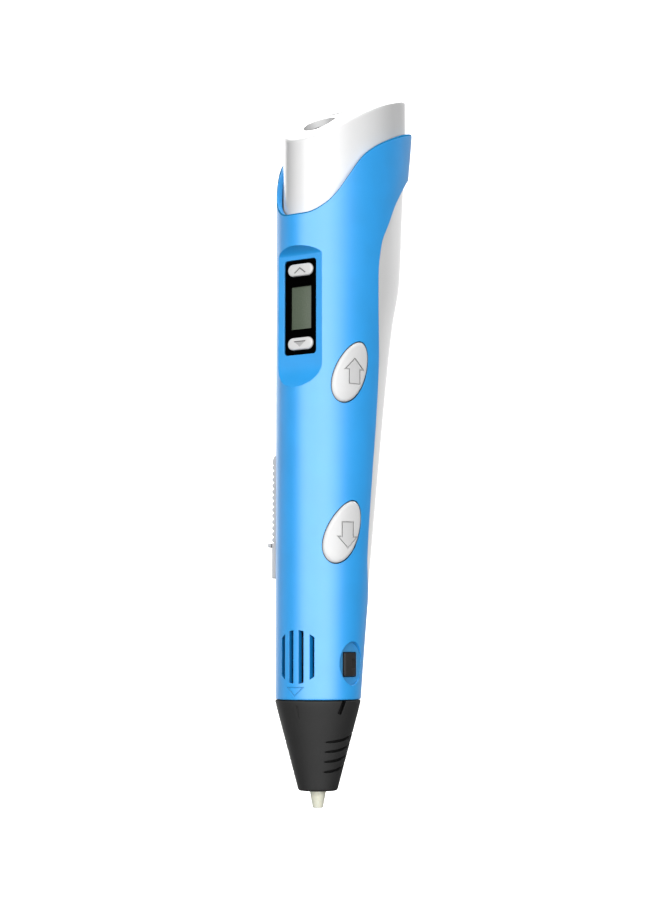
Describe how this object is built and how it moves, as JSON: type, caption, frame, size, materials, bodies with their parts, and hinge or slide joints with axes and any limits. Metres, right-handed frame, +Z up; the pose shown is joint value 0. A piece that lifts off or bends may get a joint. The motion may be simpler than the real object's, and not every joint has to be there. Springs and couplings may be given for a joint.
{
  "type": "three d pen",
  "caption": "Hand-held 3D drawing pen: tapered casing with collar and cap, display, oval feed keys, speed slider, vent, geared filament drive, pull-off nose and ceramic nozzle.",
  "frame": {"origin": "the tip of the nozzle, on the axis of the nozzle and nose", "axes": "+Z up the pen from nozzle to cap, -Y the front with the display and vent, +X the side with the oval feed keys, -X the side with the speed slider"},
  "size_m": [0.0288, 0.0466, 0.1839],
  "materials": {
    "cover_blue": "satin",
    "casing_white": "gloss",
    "nose_dark": "fine moulded texture",
    "trim_black": "gloss",
    "slider_grey": "satin",
    "ceramic": "fired, unglazed",
    "steel": "satin",
    "brass": "machined",
    "inner_frame": "natural nylon",
    "guide_tube": "translucent white",
    "circuit_board": "solder mask",
    "screen": "glass front",
    "wire_red": "insulation",
    "wire_black": "insulation",
    "wire_white": "insulation"
  },
  "bodies": {
    "casing": {"case_screw_lower": "steel", "case_screw_upper": "steel", "ceramic_nozzle": "ceramic", "control_chip": "trim_black", "display_bezel": "trim_black", "display_board": "circuit_board", "fan_frame": "nose_dark", "feed_bearing_lower": "steel", "feed_bearing_upper": "steel", "feed_bracket": "inner_frame", "feed_motor": "steel", "feed_switch": "trim_black", "filament_guide_tube": "guide_tube", "filament_inlet_bush": "inner_frame", "front_shell": "cover_blue", "gearbox_housing": "inner_frame", "heat_break_tube": "steel", "heater_core": "brass", "heater_wire_left": "wire_white", "heater_wire_right": "wire_white", "hot_end_mount": "inner_frame", "key_board": "circuit_board", "lcd_module": "screen", "main_board": "circuit_board", "motor_wire_black": "wire_black", "motor_wire_red": "wire_red", "power_jack": "nose_dark", "power_wire_black": "wire_black", "power_wire_red": "wire_red", "rear_shell": "casing_white", "retract_switch": "trim_black", "slide_potentiometer": "steel", "speed_track": "slider_grey", "temp_down_switch": "trim_black", "temp_up_switch": "trim_black", "thermistor_bead": "steel", "top_cap": "casing_white", "upper_frame": "inner_frame"},
    "nose": {"nose_cone": "nose_dark"},
    "nose_latch": {"nose_release_latch": "trim_black"},
    "temp_up_key": {"temp_up_button": "casing_white", "temp_up_plunger": "steel"},
    "temp_down_key": {"temp_down_button": "casing_white", "temp_down_plunger": "steel"},
    "feed_key": {"feed_button": "casing_white", "feed_plunger": "steel"},
    "retract_key": {"retract_button": "casing_white", "retract_plunger": "steel"},
    "slider": {"speed_slider": "slider_grey", "pot_wiper": "brass"},
    "feed_nut": {"feed_nut_gear": "brass"},
    "pinion": {"drive_pinion": "brass"},
    "fan": {"fan_impeller": "trim_black"}
  },
  "joints": [
    {"name": "nose_pull", "type": "slide", "parent": "casing", "child": "nose", "axis": [0, 0, -1], "range_m": [0, 0.03]},
    {"name": "nose_latch_press", "type": "slide", "parent": "nose", "child": "nose_latch", "axis": [-0.9877, 0.1564, 0], "range_m": [0, 0.0008]},
    {"name": "temp_up_press", "type": "slide", "parent": "casing", "child": "temp_up_key", "axis": [0, 1, 0], "range_m": [0, 0.0003]},
    {"name": "temp_down_press", "type": "slide", "parent": "casing", "child": "temp_down_key", "axis": [0, 1, 0], "range_m": [0, 0.0003]},
    {"name": "feed_press", "type": "slide", "parent": "casing", "child": "feed_key", "axis": [-0.9063, 0.4226, 0], "range_m": [0, 0.0005]},
    {"name": "retract_press", "type": "slide", "parent": "casing", "child": "retract_key", "axis": [-0.9063, 0.4226, 0], "range_m": [0, 0.0005]},
    {"name": "speed_slide", "type": "slide", "parent": "casing", "child": "slider", "axis": [0, 0, 1], "range_m": [0, 0.019]},
    {"name": "feed_nut_spin", "type": "hinge", "parent": "casing", "child": "feed_nut", "pos_m": [0, 0, 0.0495], "axis": [0, 0, 1], "continuous": true},
    {"name": "pinion_spin", "type": "hinge", "parent": "casing", "child": "pinion", "pos_m": [0, 0.0075, 0.0495], "axis": [0, 0, 1], "continuous": true},
    {"name": "fan_spin", "type": "hinge", "parent": "casing", "child": "fan", "pos_m": [0, -0.0053, 0.0368], "axis": [0, -1, 0], "continuous": true}
  ],
  "couplings": [
    {"joint": "pinion_spin", "follows": "feed_nut_spin", "ratio": -1.5}
  ]
}
